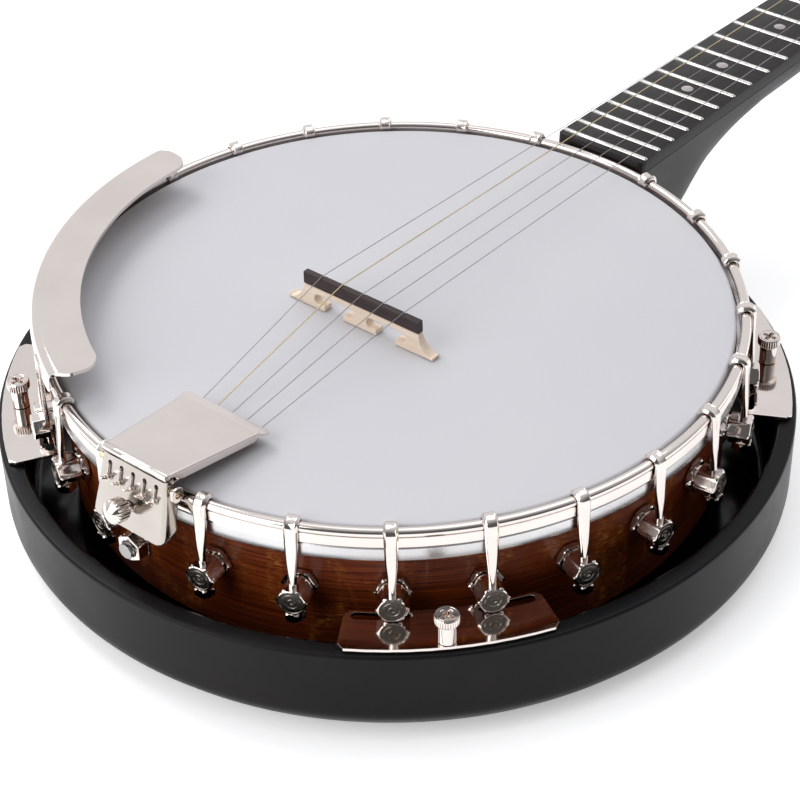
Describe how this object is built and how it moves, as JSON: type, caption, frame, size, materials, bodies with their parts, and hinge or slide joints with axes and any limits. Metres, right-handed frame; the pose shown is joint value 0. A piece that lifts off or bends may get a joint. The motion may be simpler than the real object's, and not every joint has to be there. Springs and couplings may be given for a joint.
{
  "type": "five-string resonator banjo",
  "caption": "Banjo with a frosted drum head on a hooked wooden pot, a dark bowl resonator, a hinged tailpiece, an armrest and a fretted neck.",
  "frame": {"origin": "on the pot's axis, on the flat back of the resonator", "axes": "+Y along the neck towards the headstock, +Z out of the drum head, +X towards the first string"},
  "size_m": [0.34, 0.9525, 0.1004],
  "materials": {
    "nickel_plate": "polished",
    "resonator_lacquer": "satin lacquer",
    "rim_mahogany": "gloss lacquer",
    "bell_brass": "satin",
    "frosted_film": "frosted",
    "band_aluminium": "satin",
    "maple": "bare",
    "ebony": "polished bare",
    "plain_steel": "bright",
    "neck_lacquer": "satin lacquer",
    "fretboard_rosewood": "oiled",
    "bone": "polished",
    "black_cover": "gloss",
    "pearl": "pearloid",
    "wound_bronze": "wound"
  },
  "bodies": {
    "resonator": {"resonator": "resonator_lacquer", "resonator_lug_1": "resonator_lacquer", "resonator_lug_2": "resonator_lacquer", "resonator_lug_3": "resonator_lacquer", "resonator_lug_4": "resonator_lacquer"},
    "instrument": {"armrest": "nickel_plate", "armrest_clamp_1": "nickel_plate", "armrest_clamp_2": "nickel_plate", "bridge_base": "maple", "bridge_cap": "ebony", "drum_head": "frosted_film", "fifth_peg_housing": "nickel_plate", "fifth_string_pip": "bone", "flange_plate_1": "nickel_plate", "flange_plate_2": "nickel_plate", "flange_plate_3": "nickel_plate", "flange_plate_4": "nickel_plate", "flesh_hoop": "band_aluminium", "fretboard": "fretboard_rosewood", "hanger_nut": "nickel_plate", "neck": "neck_lacquer", "nut": "bone", "rim": "rim_mahogany", "string_1": "plain_steel", "string_2": "plain_steel", "string_3": "plain_steel", "string_4": "wound_bronze", "string_5": "plain_steel", "tailpiece_cross_pin": "nickel_plate", "tailpiece_frame": "nickel_plate", "tailpiece_hanger": "nickel_plate", "tension_hoop_and_hooks": "nickel_plate", "tone_ring": "bell_brass", "truss_rod_cover": "black_cover", "tuner_1_housing": "nickel_plate", "tuner_2_housing": "nickel_plate", "tuner_3_housing": "nickel_plate", "tuner_4_housing": "nickel_plate", "coordinator_rod": "plain_steel"},
    "thumb_screw_1": {"thumb_screw_1": "nickel_plate"},
    "thumb_screw_2": {"thumb_screw_2": "nickel_plate"},
    "thumb_screw_3": {"thumb_screw_3": "nickel_plate"},
    "thumb_screw_4": {"thumb_screw_4": "nickel_plate"},
    "tailpiece_cover": {"tailpiece_cover": "nickel_plate"},
    "tailpiece_pressure_screw": {"tailpiece_pressure_screw": "nickel_plate"},
    "tuner_1_knob": {"tuner_1_knob": "nickel_plate"},
    "tuner_1_post": {"tuner_1_post": "nickel_plate"},
    "tuner_2_knob": {"tuner_2_knob": "nickel_plate"},
    "tuner_2_post": {"tuner_2_post": "nickel_plate"},
    "tuner_3_knob": {"tuner_3_knob": "nickel_plate"},
    "tuner_3_post": {"tuner_3_post": "nickel_plate"},
    "tuner_4_knob": {"tuner_4_knob": "nickel_plate"},
    "tuner_4_post": {"tuner_4_post": "nickel_plate"},
    "fifth_peg_knob": {"fifth_peg_knob": "pearl"},
    "fifth_peg_post": {"fifth_peg_post": "nickel_plate"}
  },
  "joints": [
    {"name": "instrument_lift", "type": "slide", "parent": "resonator", "child": "instrument", "axis": [0, 0, 1], "range_m": [0, 0.06]},
    {"name": "thumb_screw_1_turn", "type": "hinge", "parent": "instrument", "child": "thumb_screw_1", "pos_m": [0.11987, 0.10568, 0.05], "axis": [0, 0, 1], "continuous": true},
    {"name": "thumb_screw_2_turn", "type": "hinge", "parent": "instrument", "child": "thumb_screw_2", "pos_m": [0.11766, -0.11482, 0.05], "axis": [0, 0, 1], "continuous": true},
    {"name": "thumb_screw_3_turn", "type": "hinge", "parent": "instrument", "child": "thumb_screw_3", "pos_m": [-0.11319, -0.1128, 0.05], "axis": [0, 0, 1], "continuous": true},
    {"name": "thumb_screw_4_turn", "type": "hinge", "parent": "instrument", "child": "thumb_screw_4", "pos_m": [-0.11987, 0.10568, 0.05], "axis": [0, 0, 1], "continuous": true},
    {"name": "tailpiece_cover_hinge", "type": "hinge", "parent": "instrument", "child": "tailpiece_cover", "pos_m": [0, -0.1522, 0.0968], "axis": [1, 0, 0], "range_deg": [0, 100]},
    {"name": "pressure_screw_turn", "type": "hinge", "parent": "instrument", "child": "tailpiece_pressure_screw", "pos_m": [0, -0.15793, 0.0792], "axis": [0, -0.9608, 0.2772], "continuous": true},
    {"name": "tuner_4_knob_turn", "type": "hinge", "parent": "instrument", "child": "tuner_4_knob", "pos_m": [-0.019, 0.65712, 0.03716], "axis": [1, 0, 0], "continuous": true},
    {"name": "tuner_4_post_turn", "type": "hinge", "parent": "instrument", "child": "tuner_4_post", "pos_m": [-0.019, 0.6684, 0.05525], "axis": [0, 0.2595, 0.9657], "continuous": true},
    {"name": "tuner_3_knob_turn", "type": "hinge", "parent": "instrument", "child": "tuner_3_knob", "pos_m": [-0.018, 0.7112, 0.02263], "axis": [1, 0, 0], "continuous": true},
    {"name": "tuner_3_post_turn", "type": "hinge", "parent": "instrument", "child": "tuner_3_post", "pos_m": [-0.018, 0.72248, 0.04072], "axis": [0, 0.2595, 0.9657], "continuous": true},
    {"name": "tuner_2_knob_turn", "type": "hinge", "parent": "instrument", "child": "tuner_2_knob", "pos_m": [0.018, 0.7112, 0.02263], "axis": [1, 0, 0], "continuous": true},
    {"name": "tuner_2_post_turn", "type": "hinge", "parent": "instrument", "child": "tuner_2_post", "pos_m": [0.018, 0.72248, 0.04072], "axis": [0, 0.2595, 0.9657], "continuous": true},
    {"name": "tuner_1_knob_turn", "type": "hinge", "parent": "instrument", "child": "tuner_1_knob", "pos_m": [0.019, 0.65712, 0.03716], "axis": [1, 0, 0], "continuous": true},
    {"name": "tuner_1_post_turn", "type": "hinge", "parent": "instrument", "child": "tuner_1_post", "pos_m": [0.019, 0.6684, 0.05525], "axis": [0, 0.2595, 0.9657], "continuous": true},
    {"name": "fifth_peg_knob_turn", "type": "hinge", "parent": "instrument", "child": "fifth_peg_knob", "pos_m": [-0.01993, 0.4713, 0.06417], "axis": [1, 0, 0], "continuous": true},
    {"name": "fifth_peg_post_turn", "type": "hinge", "parent": "instrument", "child": "fifth_peg_post", "pos_m": [-0.01993, 0.4713, 0.06417], "axis": [1, 0, 0], "continuous": true}
  ],
  "couplings": [
    {"joint": "tuner_4_post_turn", "follows": "tuner_4_knob_turn", "ratio": -0.071429},
    {"joint": "tuner_3_post_turn", "follows": "tuner_3_knob_turn", "ratio": -0.071429},
    {"joint": "tuner_2_post_turn", "follows": "tuner_2_knob_turn", "ratio": 0.071429},
    {"joint": "tuner_1_post_turn", "follows": "tuner_1_knob_turn", "ratio": 0.071429},
    {"joint": "fifth_peg_post_turn", "follows": "fifth_peg_knob_turn", "ratio": 0.25}
  ]
}
